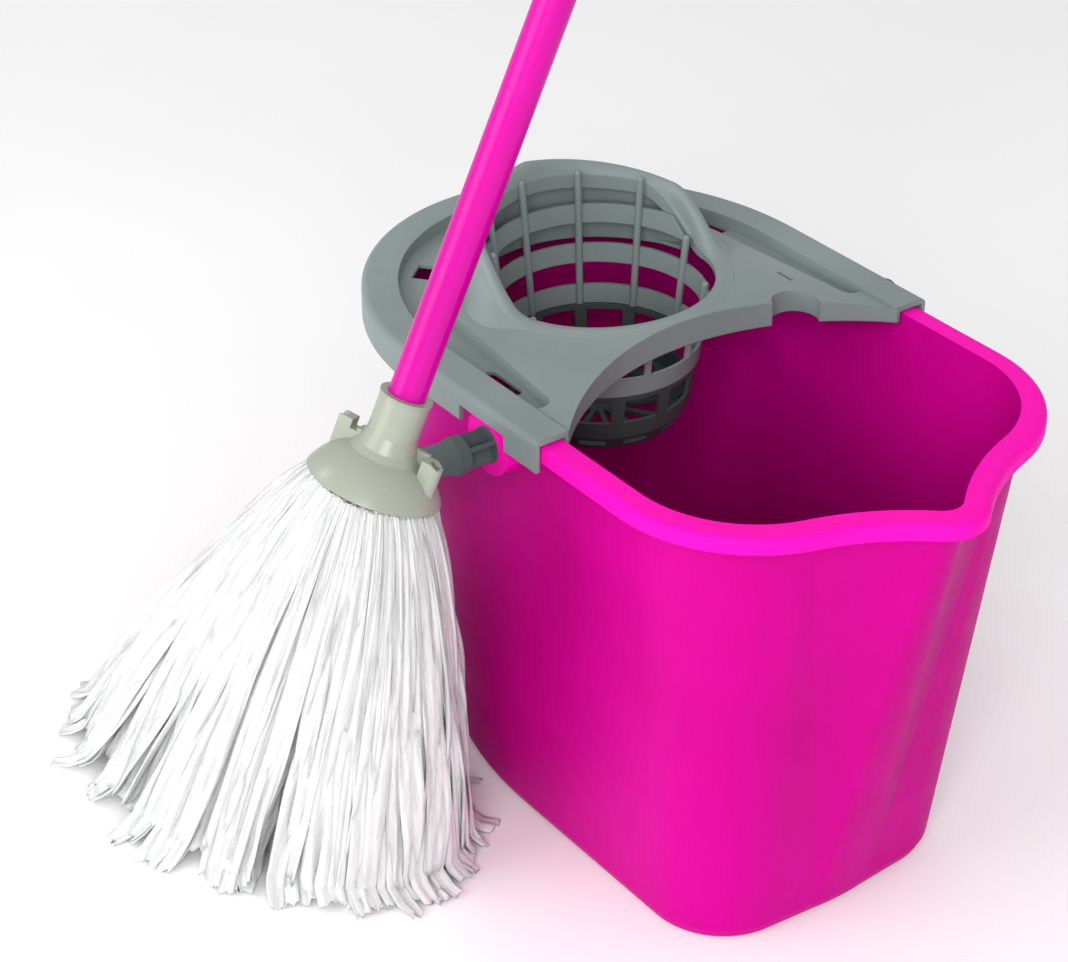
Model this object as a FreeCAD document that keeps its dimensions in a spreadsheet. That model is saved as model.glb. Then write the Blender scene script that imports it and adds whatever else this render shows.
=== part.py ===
"""Mop and bucket set: bucket with pour spout, swinging bail, lift-off cone wringer and string mop.

Frame: origin at the centre of the bucket's base on the floor, +X to the spout, +Z up, millimetres.
The mop stands on its strings beside the bucket on the -Y side and leans over it towards +Y.
"""
import FreeCAD, Part
import math
import os
import re

V = FreeCAD.Vector
doc = FreeCAD.newDocument("mop_and_bucket")

SIZES = {
    # bucket
    "rim_top": 277.0,           # height of the rim's top face
    "rim_length": 420.0,        # back of the rim to the tip of the spout
    "rim_half_width": 124.5,
    "rim_back_len": 140.0,      # length of the half-elliptic back end
    "rim_corner_rad": 79.0,     # front corners
    "rim_flank_deg": 73.0,      # heading of the outline after the corner, 0 along +X
    "rim_hollow_rad": 130.0,    # hollow curve from the corner into the spout
    "rim_spout_deg": 48.0,      # heading where the spout's nose begins
    "rim_nose_rad": 24.0,
    "rim_lip_depth": 9.0,
    "rim_band": 10.5,           # rim's outer edge to the wall's outer face
    "wall_thick": 2.5,
    "base_half_width": 90.0,
    "base_back": 178.0,         # origin to the back of the base
    "base_front": 140.0,
    "base_back_len": 150.0,
    "base_corner_rad": 45.0,
    "base_flank_deg": 86.0,
    "base_hollow_rad": 120.0,
    "base_spout_deg": 84.0,
    "base_nose_rad": 150.0,
    "base_round": 7.0,
    # bail and its ears
    "pivot_back": 8.0,          # the pivot's distance behind the origin
    "pivot_level": 257.0,
    "ear_face": 124.0,          # outer face of the ear plate
    "ear_thick": 3.0,
    "ear_half": 17.0,           # half the ear plate's width
    "ear_hole_rad": 10.1,
    "ear_boss_rad": 14.0,
    "pin_rad": 10.0,
    "arm_inner": 140.0,         # inner face of the bail's arm
    "arm_thick": 6.0,
    "arm_tall": 17.0,
    "bail_reach": 235.0,        # pivot to the middle of the grip
    "bail_corner_rad": 100.0,
    "bail_rest_deg": 34.0,      # the bail hangs this far below level, behind the bucket
    "grip_length": 78.0,
    "grip_tall": 25.0,
    "grip_deep": 15.0,
    # wringer
    "cone_back": 79.0,          # cone axis behind the origin
    "mouth_rad": 62.0,
    "cone_thick": 2.0,
    "cone_taper": 0.112,        # radius lost per millimetre of depth
    "deck_top": 281.0,
    "deck_thick": 2.5,
    "deck_front": 38.0,         # front ends of the rim channel
    "skirt_drop": 17.5,
    "arch_top": 287.0,
    "arch_rad": 795.0,
    "trough_depth": 7.0,
    "trough_nose_x": 5.0,       # round front ends of the trough
    "trough_nose_y": 103.0,
    "trough_nose_rad": 6.0,
    "collar_high": 326.0,       # outer ridge at the back
    "collar_inner": 316.0,      # inner edge at the back
    "brow_rad": 150.0,          # hollow front edge of the deck
    "brow_back": 8.0,
    "park_x": 6.0,              # half-round notch that parks the stick
    "park_y": 65.0,
    "park_rad": 13.0,
    "rib_rad": 2.0,
    "ring_tall": 11.0,          # height of each ring of the cone
    "ring_low": 240.0,          # undersides of the three rings
    "ring_middle": 264.0,
    "ring_high": 287.0,
    "cup_top": 239.7,
    "cup_bottom": 203.0,
    "cup_rad": 54.5,
    "cup_knee_rad": 50.0,
    "cup_wall": 2.2,
    "cup_foot_rad": 44.0,
    # mop
    "mop_x": 21.0,              # centre of the cap's rim
    "mop_y": -210.0,
    "mop_z": 280.0,
    "mop_lean_x": 0.085,        # run of the stick per unit of rise
    "mop_lean_y": 0.400,
    "cap_rad": 33.5,
    "cap_dome": 21.0,
    "cap_thick": 2.2,
    "socket_rad": 12.5,
    "socket_top": 47.0,
    "stick_rad": 9.2,
    "stick_wall": 0.8,
    "stick_foot": 20.0,
    "stick_length": 1150.0,
    "holder_rad": 27.0,
    "hang_hole_rad": 4.0,
    "strings_x": -135.0,        # centre of the strings' footprint
    "strings_y": -190.0,
    "strings_long": 138.0,      # half axes of the footprint
    "strings_short": 83.0,
    "strings_top_rad": 27.0,
    "strings_turn_deg": 12.0,
}

sheet = doc.addObject("Spreadsheet::Sheet", "sizes")
for row, (alias, value) in enumerate(SIZES.items(), start=1):
    sheet.set("A%d" % row, alias)
    sheet.set("B%d" % row, str(value))
    sheet.setAlias("B%d" % row, alias)
doc.recompute()


def size(alias):
    """Value of one cell of the sheet."""
    return float(sheet.get(alias))


def formula(text):
    """Expression text in which every size name refers to the sheet."""
    return re.sub("[a-z_]+", lambda m: "sizes." + m.group() if m.group() in SIZES else m.group(), text)


def solid(kind, name, sizes, x="0", y="0", z="0", turn=FreeCAD.Rotation()):
    """A primitive whose sizes and place are bound to the sheet."""
    thing = doc.addObject("Part::" + kind, name)
    thing.Placement = FreeCAD.Placement(V(0, 0, 0), turn)
    for prop, text in sizes.items():
        thing.setExpression(prop, formula(text))
    for axis, text in (("x", x), ("y", y), ("z", z)):
        thing.setExpression("Placement.Base." + axis, formula(text))
    return thing


def fuse(name, shapes):
    thing = doc.addObject("Part::MultiFuse", name)
    thing.Shapes = shapes
    thing.Refine = True
    return thing


def cut(name, base, tool):
    thing = doc.addObject("Part::Cut", name)
    thing.Base = base
    thing.Tool = tool
    thing.Refine = True
    return thing


def common(name, base, tool):
    thing = doc.addObject("Part::Common", name)
    thing.Base = base
    thing.Tool = tool
    thing.Refine = True
    return thing


def mirrored(name, source):
    """The same piece on the other side of the bucket."""
    thing = doc.addObject("Part::Mirroring", name)
    thing.Source = source
    thing.Normal = V(0, 1, 0)
    return thing


def about_z(angle):
    return FreeCAD.Rotation(V(0, 0, 1), angle)


ALONG_Y = FreeCAD.Rotation(V(1, 0, 0), -90)


def spoke_box(name, sizes, start, low, angle, axis="0"):
    """A box that points outwards from an upright axis on Y 0: it starts at a distance from the axis
    and is centred across its direction."""
    cosine = "(%.6f)" % math.cos(math.radians(angle))
    sine = "(%.6f)" % math.sin(math.radians(angle))
    half = "(%s) / 2" % sizes["Width"]
    x = "(%s) + (%s) * %s + %s * %s" % (axis, start, cosine, half, sine)
    y = "(%s) * %s - %s * %s" % (start, sine, half, cosine)
    return solid("Box", name, sizes, x, y, low, about_z(angle))


def shape_object(name, shape):
    """A free-form piece: its shape is worked out here from the sheet's sizes."""
    thing = doc.addObject("Part::Feature", name)
    thing.Shape = shape
    return thing


# ------------------------------------------------------------------ the bucket's outline

RIM = dict(back="rim_length/2", front="rim_length/2", half="rim_half_width", tail="rim_back_len",
           corner="rim_corner_rad", flank="rim_flank_deg", hollow="rim_hollow_rad",
           spout="rim_spout_deg", nose="rim_nose_rad")
BASE = dict(back="base_back", front="base_front", half="base_half_width", tail="base_back_len",
            corner="base_corner_rad", flank="base_flank_deg", hollow="base_hollow_rad",
            spout="base_spout_deg", nose="base_nose_rad")


def read(names):
    """Sizes of one outline; a name may end in /2."""
    return {key: size(name.split("/")[0]) / (2.0 if name.endswith("/2") else 1.0)
            for key, name in names.items()}


def outline(names, level, grow=0.0):
    """Closed wire at one height: half-elliptic back, straight sides, round corners, hollow flanks
    and a round nose at the spout. grow moves the whole outline outwards."""
    o = read(names)
    half = o["half"] + grow
    tail = o["tail"] + grow
    corner = o["corner"] + grow
    hollow = o["hollow"] - grow
    nose = o["nose"] + grow
    front = o["front"] + grow
    side_start = tail - o["back"] - grow
    flank = math.radians(o["flank"])
    spout = math.radians(o["spout"])

    def step(start, radius, heading, turn):
        """End and middle of an arc that starts at a heading and turns by an angle."""
        side = 1.0 if turn > 0 else -1.0
        centre = start + V(-math.sin(heading), math.cos(heading), 0) * radius * side
        points = []
        for part in (0.5, 1.0):
            h = heading + turn * part
            points.append(centre + V(math.sin(h), -math.cos(h), 0) * radius * side)
        return points

    # the front half, first laid out from the corner's start, then moved so the nose meets front
    corner_mid, corner_end = step(V(0, -half, level), corner, 0.0, flank)
    rise_hollow = hollow * (math.cos(spout) - math.cos(flank))
    rise_nose = nose * math.cos(spout)
    run = -(corner_end.y + rise_hollow + rise_nose) / math.sin(flank)
    hollow_start = corner_end + V(math.cos(flank), math.sin(flank), 0) * run
    hollow_mid, hollow_end = step(hollow_start, hollow, flank, spout - flank)
    tip = step(hollow_end, nose, spout, math.pi / 2 - spout)[1]
    shift = V(front - tip.x, 0, 0)
    corner_start = V(shift.x, -half, level)
    corner_mid, corner_end, hollow_start, hollow_mid, hollow_end, tip = [
        p + shift for p in (corner_mid, corner_end, hollow_start, hollow_mid, hollow_end, tip)]

    def mirror(p):
        return V(p.x, -p.y, p.z)

    ellipse = Part.Ellipse(V(side_start, 0, level), max(tail, half), min(tail, half))
    if tail < half:
        ellipse.rotate(FreeCAD.Placement(V(0, 0, 0), FreeCAD.Rotation(V(0, 0, 1), 90),
                                         V(side_start, 0, level)))
    first = ellipse.parameter(V(side_start - tail, 0, level))
    near = ellipse.parameter(V(side_start, -half, level))
    far = ellipse.parameter(V(side_start, half, level))
    turn = 2 * math.pi
    back_near = Part.ArcOfEllipse(ellipse, first, near if near > first else near + turn)
    back_far = Part.ArcOfEllipse(ellipse, far, first if first > far else first + turn)
    edges = [
        back_near.toShape(),
        Part.LineSegment(V(side_start, -half, level), corner_start).toShape(),
        Part.Arc(corner_start, corner_mid, corner_end).toShape(),
        Part.LineSegment(corner_end, hollow_start).toShape(),
        Part.Arc(hollow_start, hollow_mid, hollow_end).toShape(),
        Part.Arc(hollow_end, tip, mirror(hollow_end)).toShape(),
        Part.Arc(mirror(hollow_end), mirror(hollow_mid), mirror(hollow_start)).toShape(),
        Part.LineSegment(mirror(hollow_start), mirror(corner_end)).toShape(),
        Part.Arc(mirror(corner_end), mirror(corner_mid), mirror(corner_start)).toShape(),
        Part.LineSegment(mirror(corner_start), V(side_start, half, level)).toShape(),
        back_far.toShape(),
    ]
    return Part.Wire(edges)


def section(name, names, level, grow=0.0):
    """The outline as an object at a height, which is a formula."""
    thing = shape_object(name, outline(names, 0.0, grow))
    thing.setExpression("Placement.Base.z", formula(level))
    return thing


def loft(name, sections):
    thing = doc.addObject("Part::Loft", name)
    thing.Sections = sections
    thing.Solid = True
    thing.Ruled = True
    return thing


def prism(name, names, grow, low, high):
    """Solid of the outline, grown by an amount, between two heights, which are formulas."""
    thing = doc.addObject("Part::Extrusion", name)
    thing.Base = section(name + "_outline", names, low, grow)
    thing.DirMode = "Custom"
    thing.Dir = V(0, 0, 1)
    thing.setExpression("LengthFwd", formula("(%s) - (%s)" % (high, low)))
    thing.Solid = True
    return thing


def round_edges(name, base, radius, wanted):
    """Fillet the edges of base that a test picks."""
    doc.recompute()
    picked = [(number, radius, radius) for number, edge in enumerate(base.Shape.Edges, start=1)
              if wanted(edge)]
    thing = doc.addObject("Part::Fillet", name)
    thing.Base = base
    thing.Edges = picked
    return thing


def level_edge(edge, level):
    box_ = edge.BoundBox
    return abs(box_.ZMin - level) < 0.01 and abs(box_.ZMax - level) < 0.01


# ------------------------------------------------------------------ bucket shell

LIP = "rim_top - rim_lip_depth"        # formula of the rim's lower edge
BAND = size("rim_band")
WALL = size("wall_thick")
ROUND = size("base_round")


def near_ear():
    """Plate that hangs under the rim, with a raised ring round the pivot hole and two webs."""
    middle = "-pivot_back"
    top = LIP + " + 3"
    web = "2.5"
    web_low = "pivot_level - 9"
    pieces = [
        solid("Cylinder", "ear_round", {"Radius": "ear_half", "Height": "ear_thick"},
              middle, "-ear_face", "pivot_level", ALONG_Y),
        solid("Box", "ear_plate", {"Length": "2 * ear_half", "Width": "ear_thick",
                                   "Height": top + " - pivot_level"},
              "-pivot_back - ear_half", "-ear_face", "pivot_level"),
        solid("Cylinder", "ear_ring", {"Radius": "ear_boss_rad", "Height": "ear_thick + 0.8"},
              middle, "-ear_face - 0.8", "pivot_level", ALONG_Y),
    ]
    for name, edge in (("ear_web_back", "-pivot_back - ear_half"),
                       ("ear_web_front", "-pivot_back + ear_half - " + web)):
        pieces.append(solid("Box", name, {"Length": web, "Width": "14",
                                          "Height": "%s - (%s)" % (top, web_low)},
                            edge, "-ear_face", web_low))
    hole = solid("Cylinder", "ear_hole", {"Radius": "ear_hole_rad", "Height": "2 * ear_thick"},
                 middle, "-ear_face - ear_thick / 2", "pivot_level", ALONG_Y)
    return cut("ear_near", fuse("ear_solid", pieces), hole)


outer_body = loft("outer_body", [
    section("outer_foot", BASE, "0", -ROUND),
    section("outer_heel", BASE, "0.25 * base_round", -0.34 * ROUND),
    section("outer_base", BASE, "base_round", 0.0),
    section("outer_top", RIM, LIP, -BAND),
])
neck = prism("neck", RIM, -BAND, LIP, "rim_top")
inner_body = loft("inner_body", [
    section("inner_floor", BASE, "wall_thick", -WALL - ROUND),
    section("inner_base", BASE, "wall_thick + base_round", -WALL),
    section("inner_top", RIM, "rim_top + 1", -BAND - WALL),
])
rim_block = prism("rim_block", RIM, 0.0, LIP, "rim_top")
rim_round = round_edges("rim_round", rim_block, 4.0, lambda edge: level_edge(edge, size("rim_top")))
rim_hollow = cut("rim_hollow", prism("under_rim", RIM, -WALL, LIP + " - 1", "rim_top - wall_thick"),
                 prism("under_rim_core", RIM, -BAND, LIP + " - 2", "rim_top"))
rim_band = cut("rim_band", rim_round, rim_hollow)
ear_near = near_ear()
ear_far = mirrored("ear_far", ear_near)
bucket_solid = fuse("bucket_solid", [outer_body, neck, rim_band, ear_near, ear_far])
bucket = cut("bucket_shell", bucket_solid, inner_body)


# ------------------------------------------------------------------ bail
# made in its own frame, with the pivot axis on Y and its reach along -X, then hung at rest

HALF_STRAP = size("arm_thick") / 2


def strap():
    """Flat U-shaped strap with large round corners."""
    outer = solid("Box", "strap_outside", {"Length": "bail_reach + arm_thick / 2",
                                           "Width": "2 * (arm_inner + arm_thick)", "Height": "arm_tall"},
                  "-bail_reach - arm_thick / 2", "-arm_inner - arm_thick", "-arm_tall / 2")
    inner = solid("Box", "strap_inside", {"Length": "bail_reach - arm_thick / 2 + 20",
                                          "Width": "2 * arm_inner", "Height": "arm_tall + 2"},
                  "-bail_reach + arm_thick / 2", "-arm_inner", "-arm_tall / 2 - 1")
    corner = size("bail_corner_rad")

    def back_corner(edge):
        return edge.BoundBox.ZLength > 1.0 and edge.BoundBox.XMax < -corner

    return cut("strap", round_edges("strap_outside_round", outer, corner + HALF_STRAP, back_corner),
               round_edges("strap_inside_round", inner, corner - HALF_STRAP, back_corner))


def near_hub():
    """Round end of the near arm and its finned neck, whose disc turns in the ear behind a flange."""
    gap = "0.4"
    fin = "2.6"
    neck = {"Length": "2 * pin_rad - 2", "Width": "arm_inner - ear_face", "Height": fin}
    upright = dict(neck, Length=fin, Height="2 * pin_rad - 2")
    return fuse("hub_near", [
        solid("Cylinder", "arm_end", {"Radius": "pin_rad", "Height": "arm_thick"},
              "0", "-arm_inner - arm_thick", "0", ALONG_Y),
        solid("Box", "neck_level_fin", neck, "1 - pin_rad", "-arm_inner", "-%s / 2" % fin),
        solid("Box", "neck_upright_fin", upright, "-%s / 2" % fin, "-arm_inner", "1 - pin_rad"),
        solid("Cylinder", "pivot_disc", {"Radius": "pin_rad", "Height": "ear_thick + 1 + " + gap},
              "0", "-ear_face - 1", "0", ALONG_Y),
        solid("Cylinder", "pivot_flange", {"Radius": "pin_rad + 2", "Height": "2"},
              "0", "-ear_face + ear_thick + " + gap, "0", ALONG_Y),
    ])


def grip():
    """Hand grip round the straight middle of the bail, with a slot that fits the strap."""
    play = "0.15"
    body = solid("Box", "grip_block", {"Length": "grip_deep", "Width": "grip_length", "Height": "grip_tall"},
                 "-bail_reach - grip_deep / 2", "-grip_length / 2", "-grip_tall / 2")
    long_round = round_edges("grip_long_round", body, 6.5, lambda edge: edge.BoundBox.YLength > 1.0)
    end_round = round_edges("grip_end_round", long_round, 2.0, lambda edge: edge.BoundBox.YLength < 0.01)
    slot = solid("Box", "grip_slot", {"Length": "arm_thick + 2 * " + play, "Width": "grip_length + 2",
                                      "Height": "arm_tall + 2 * " + play},
                 "-bail_reach - arm_thick / 2 - " + play, "-grip_length / 2 - 1", "-arm_tall / 2 - " + play)
    return cut("bail_grip", end_round, slot)


hub_near = near_hub()
bail_handle = fuse("bail_handle", [strap(), hub_near, mirrored("hub_far", hub_near)])
bail_grip = grip()
for thing in (bail_handle, bail_grip):
    thing.Placement = FreeCAD.Placement(V(0, 0, 0), FreeCAD.Rotation(V(0, -1, 0), size("bail_rest_deg")))
    thing.setExpression("Placement.Base.x", formula("-pivot_back"))
    thing.setExpression("Placement.Base.z", formula("pivot_level"))


# ------------------------------------------------------------------ wringer

DECK = size("deck_top")
SKIN = size("deck_thick")
AXIS_X = -size("cone_back")
MOUTH = size("mouth_rad")
FRONT = size("deck_front")
TROUGH = DECK - size("trough_depth")
UNDER = TROUGH - 2.0           # underside of the trough's floor and of the deck's walls
SKIRT = "deck_top - skirt_drop"        # formula of the skirt's lower edge
OUTSIDE = 1.0 + SKIN           # the skirt stands clear of the rim by 1 mm
INSIDE = -BAND - WALL - 1.5    # the channel's inner wall stands clear of the bucket wall
PLAN = INSIDE - 1.8            # the deck's plan starts inside the channel's inner wall
REACH = 260.0                  # larger than the bucket on every side
ARCH_RAD = size("arch_rad")
ARCH_TOP = size("arch_top")


def ring(name, outer, inner, low, high):
    """Band of the rim outline between two offsets and two heights, which are formulas."""
    return cut(name, prism(name + "_out", RIM, outer, low, high),
               prism(name + "_in", RIM, inner, low + " - 1", high + " + 1"))


def plan_face(points):
    wire = [V(x, y, 0) for x, y in points]
    return Part.Face(Part.makePolygon(wire + [wire[0]]))


def disc(x, y, radius):
    return Part.Face(Part.Wire([Part.makeCircle(radius, V(x, y, 0))]))


def smooth(value, low, high):
    """0 below low, 1 above high, an even S between them."""
    share = min(max((value - low) / (high - low), 0.0), 1.0)
    return share * share * (3 - 2 * share)


def arch_height(y):
    """Height of the deck's top, which is arched across the bucket."""
    return ARCH_TOP - ARCH_RAD + math.sqrt(ARCH_RAD ** 2 - y ** 2)


def open_front(plan):
    """Takes the hollow front edge and the half-round notch for the stick out of a plan."""
    plan = plan.cut(disc(size("brow_rad") - size("brow_back"), 0.0, size("brow_rad")))
    return plan.cut(disc(size("park_x"), size("park_y"), size("park_rad")))


def deck_plan():
    """Plan of the raised deck: wings that widen to the front, a hollow front edge, round trough ends."""
    nose = size("trough_nose_rad")
    nose_x = size("trough_nose_x")
    nose_y = size("trough_nose_y")
    wing = nose_y - nose
    half = [(AXIS_X, 58.0), (-97.0, 70.0), (-101.0, 77.0), (-97.0, 84.0), (-89.0, 87.0), (nose_x, wing),
            (nose_x, 130.0), (REACH, 130.0)]
    plan = plan_face(half + [(x, -y) for x, y in reversed(half)])
    plan = plan.common(Part.Face(outline(RIM, 0.0, PLAN)))
    for side in (-1, 1):
        plan = plan.cut(disc(nose_x, side * nose_y, nose))
    ahead = plan_face([(FRONT, -150.0), (REACH, -150.0), (REACH, 150.0), (FRONT, 150.0)])
    plan = open_front(plan).cut(ahead)
    return max(plan.Faces, key=lambda face: face.Area)


def under_arch(lower):
    """Solid below the arched deck top, moved down by an amount."""
    block = Part.makeCylinder(ARCH_RAD, 2 * REACH, V(-REACH, 0, ARCH_TOP - ARCH_RAD - lower), V(1, 0, 0))
    return block.common(Part.makeBox(2 * REACH, 2 * REACH, 60.0, V(-REACH, -REACH, UNDER - 20)))


def extrude_between(face, low, high):
    face = face.copy()
    face.translate(V(0, 0, low))
    return face.extrude(V(0, 0, high - low))


def deck_shape():
    """Raised deck with walls down its edges, open below."""
    plan = deck_plan()
    inner_plan = plan.makeOffset2D(-2.2)
    block = extrude_between(plan, UNDER, ARCH_TOP + 5).common(under_arch(0.0))
    hollow = extrude_between(inner_plan, UNDER - 5, ARCH_TOP + 5).common(under_arch(2.4))
    slit = Part.makeBox(12.0, 2.0, 30.0, V(-28.0, 80.5, UNDER))
    return block.cut([hollow, slit, Part.makeCylinder(MOUTH + 5.0, 80.0, V(AXIS_X, 0, UNDER - 30))])


def floor_shape():
    """Floor of the trough round the deck and the collar, with its drain holes."""
    plan = Part.Face(outline(RIM, 0.0, PLAN)).cut(deck_plan()).cut(disc(AXIS_X, 0.0, MOUTH + 9.5))
    plan = open_front(plan)
    plan = plan.cut(plan_face([(15.0, -150.0), (REACH, -150.0), (REACH, 150.0), (15.0, 150.0)]))
    floor = extrude_between(plan, UNDER, TROUGH)
    # a long drain with round ends near the front of the near trough
    drain = Part.makeBox(21.0, 7.0, 20.0, V(-39.5, -103.0, UNDER - 9))
    ends = [Part.makeCylinder(3.5, 20.0, V(x, -99.5, UNDER - 9)) for x in (-39.5, -18.5)]
    floor = floor.cut(drain.fuse(ends))
    for angle, radius in ((-104.0, 99.0), (104.0, 99.0), (-140.0, 96.0), (140.0, 96.0)):
        turn = math.radians(angle)
        hole = Part.makeBox(14.0, 16.0, 20.0, V(-7.0, -8.0, 0))
        hole.rotate(V(0, 0, 0), V(0, 0, 1), angle)
        hole.translate(V(AXIS_X + radius * math.cos(turn), radius * math.sin(turn), UNDER - 9))
        floor = floor.cut(hole)
    return floor


def lip_height(angle):
    """Height of the mouth's inner edge round the cone's axis, 0 at the front."""
    level = arch_height(MOUTH * math.sin(math.radians(min(angle, 90.0))))
    rise = size("collar_inner") - 3.0 - level
    return level + rise * smooth(angle, 78, 124) + 3.0 * smooth(angle, 120, 180)


def ridge_height(angle):
    """Height of the collar's outer ridge round the cone's axis."""
    level = arch_height(MOUTH * math.sin(math.radians(min(angle, 90.0)))) + 0.5
    rise = size("collar_high") - 12.0 - level
    return level + rise * smooth(angle, 68, 108) + 12.0 * max(0.0, (angle - 108) / 72.0)


def collar_section(angle):
    """Closed section of the collar: inner lip, rounded ridge and outer wall, 2.4 mm thick."""
    inner = lip_height(angle)
    ridge = ridge_height(angle)
    rise = ridge - inner
    back = smooth(angle, 68, 104)
    flare = 9.0 * smooth(angle, 60, 84) * (1 - smooth(angle, 92, 122))
    foot = arch_height(74.0 * math.sin(math.radians(min(angle, 90.0)))) - 2.0
    foot += (UNDER - foot) * smooth(angle, 92, 112)
    lip = 3.0 + 5.0 * back
    top = [(MOUTH, inner), (MOUTH + 1.8, inner + 0.62 * rise), (MOUTH + 4.2, inner + 0.95 * rise),
           (MOUTH + 6.8, ridge - 0.4 - 0.4 * back), (MOUTH + 8.6, ridge - 0.6 - 3.4 * back),
           (MOUTH + 9.6, ridge - 0.8 - 8.2 * back)]
    rest = [(MOUTH + 12.0 + flare, foot), (MOUTH + 9.6 + flare, foot - 0.5),
            (MOUTH + 7.2, ridge - 1.8 - 7.6 * back), (MOUTH + 4.6, ridge - 1.9 - 3.0 * back),
            (MOUTH + 2.3, inner - 1.5), (MOUTH + 2.0, inner - lip), (MOUTH, inner - lip)]
    turn = math.radians(angle)

    def place(r, z):
        return V(AXIS_X + r * math.cos(turn), r * math.sin(turn), z)

    curve = Part.BSplineCurve()
    curve.interpolate([place(r, z) for r, z in top])
    chain = [place(*top[-1])] + [place(r, z) for r, z in rest] + [place(*top[0])]
    edges = [curve.toShape()] + [Part.LineSegment(p, q).toShape() for p, q in zip(chain, chain[1:])]
    return Part.Wire(edges)


def collar_shape():
    """Both halves of the collar, lofted through sections from the front round to the back."""
    sections = [collar_section(7.5 * number) for number in range(25)]
    half = Part.makeLoft(sections, True, False)
    brow = size("brow_rad")
    front = Part.makeCylinder(brow, 80.0, V(brow - size("brow_back"), 0, UNDER - 20))
    return half.fuse(half.mirror(V(0, 0, 0), V(0, 1, 0))).cut(front)


def ear_openings():
    """Openings in the skirt over the two ears."""
    sizes = {"Length": "2 * ear_half + 4", "Width": "12", "Height": "(%s + 4) - (%s - 1)" % (LIP, SKIRT)}
    near = solid("Box", "ear_opening_near", sizes, "-pivot_back - ear_half - 2", "-rim_half_width - 9",
                 SKIRT + " - 1")
    return fuse("ear_openings", [near, mirrored("ear_opening_far", near)])


channel_block = prism("channel_block", RIM, OUTSIDE, SKIRT, "deck_top")
channel_round = round_edges("channel_round", channel_block, 3.5, lambda edge: level_edge(edge, DECK))
channel_solid = cut("channel_solid", channel_round,
                    prism("channel_core", RIM, INSIDE - 2.0, SKIRT + " - 1", "deck_top + 1"))
rim_space = ring("rim_space", OUTSIDE - SKIN, INSIDE, SKIRT + " - 2", "rim_top + 1")
behind_front = solid("Box", "behind_front", {"Length": "%g + deck_front" % REACH,
                                             "Width": "%g" % (2 * REACH), "Height": "100"},
                     "-%g" % REACH, "-%g" % REACH, "deck_top - 60")
channel_open = cut("channel_open", cut("channel_u", channel_solid, rim_space), ear_openings())
inner_trim = cut("inner_trim", common("channel", channel_open, behind_front),
                 ring("inner_foot", INSIDE + 1.0, INSIDE - 3.0, SKIRT + " - 3",
                      "deck_top - trough_depth - 2"))
wringer_frame = fuse("wringer_frame", [
    inner_trim,
    shape_object("deck", deck_shape()),
    shape_object("trough_floor", floor_shape()),
    shape_object("collar", collar_shape()),
])


# ------------------------------------------------------------------ cone and cup of the wringer

RIBS = 11
FIRST_RIB = 23.5               # its direction round the cone's axis, in degrees
CUP_WINDOWS = 12
FIRST_WINDOW = 19.0
RING_LOW = size("ring_low")
BACK = "-cone_back"


def cone_radius(level):
    """Inner radius of the squeezing cone at a height."""
    return MOUTH - 0.4 - (size("collar_inner") - level) * size("cone_taper")


def cone_band(name, low):
    """Conical ring of the cone whose underside is at one of the ring levels."""
    inside = "mouth_rad - 0.4 - (collar_inner - (%s)) * cone_taper"
    high = low + " + ring_tall"
    inner = {"Radius1": inside % low, "Radius2": inside % high, "Height": "ring_tall"}
    outer = {"Radius1": inner["Radius1"] + " + cone_thick", "Radius2": inner["Radius2"] + " + cone_thick",
             "Height": "ring_tall"}
    return cut(name, solid("Cone", name + "_out", outer, BACK, "0", low),
               solid("Cone", name + "_in", inner, BACK, "0", low))


def below_lip():
    """Everything lower than the mouth's inner edge, which depends only on the distance along X."""
    points = []
    for angle in range(0, 181, 10):
        along = AXIS_X + (MOUTH - 2) * math.cos(math.radians(angle))
        points.append(V(along, -REACH, lip_height(angle) - 2.0))
    curve = Part.BSplineCurve()
    curve.interpolate(points)
    first, last = points[0], points[-1]
    low = RING_LOW - 20
    corners = [last, V(last.x - 30, -REACH, last.z), V(last.x - 30, -REACH, low),
               V(first.x + 30, -REACH, low), V(first.x + 30, -REACH, first.z), first]
    edges = [curve.toShape()] + [Part.LineSegment(p, q).toShape() for p, q in zip(corners, corners[1:])]
    return Part.Face(Part.Wire(edges)).extrude(V(0, 2 * REACH, 0))


def rib(number):
    """Round upright with a domed top that leans with the cone; the front ones stop lower."""
    angle = FIRST_RIB + 360.0 * number / RIBS
    turn = math.radians(angle)
    from_front = abs((angle + 180) % 360 - 180)
    top = lip_height(from_front) - 8.0 + 9.0 * smooth(from_front, 60, 90)

    def place(level):
        r = cone_radius(level) - 0.2
        return V(AXIS_X + r * math.cos(turn), r * math.sin(turn), level)

    upright = doc.addObject("Part::Cylinder", "rib_%d" % number)
    upright.setExpression("Radius", formula("rib_rad"))
    upright.Height = (place(top) - place(RING_LOW)).Length
    upright.Placement = FreeCAD.Placement(place(RING_LOW),
                                          FreeCAD.Rotation(V(0, 0, 1), place(top) - place(RING_LOW)))
    tip = doc.addObject("Part::Sphere", "rib_tip_%d" % number)
    tip.setExpression("Radius", formula("rib_rad"))
    tip.Placement = FreeCAD.Placement(place(top), FreeCAD.Rotation())
    return [upright, tip]


def cup_floor_opening(angle):
    """Tapered opening between two spokes of the cup's floor."""
    points = []
    for radius, half in ((8.0, 6.0), (size("cup_foot_rad") - 5.0, 11.5)):
        for side in (-1, 1):
            turn = math.radians(angle + side * half)
            points.append(V(AXIS_X + radius * math.cos(turn), radius * math.sin(turn),
                            size("cup_bottom") - 1))
    near_low, near_high, far_low, far_high = points
    path = Part.makePolygon([near_low, far_low, far_high, near_high, near_low])
    return Part.Face(path).extrude(V(0, 0, 6))


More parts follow.
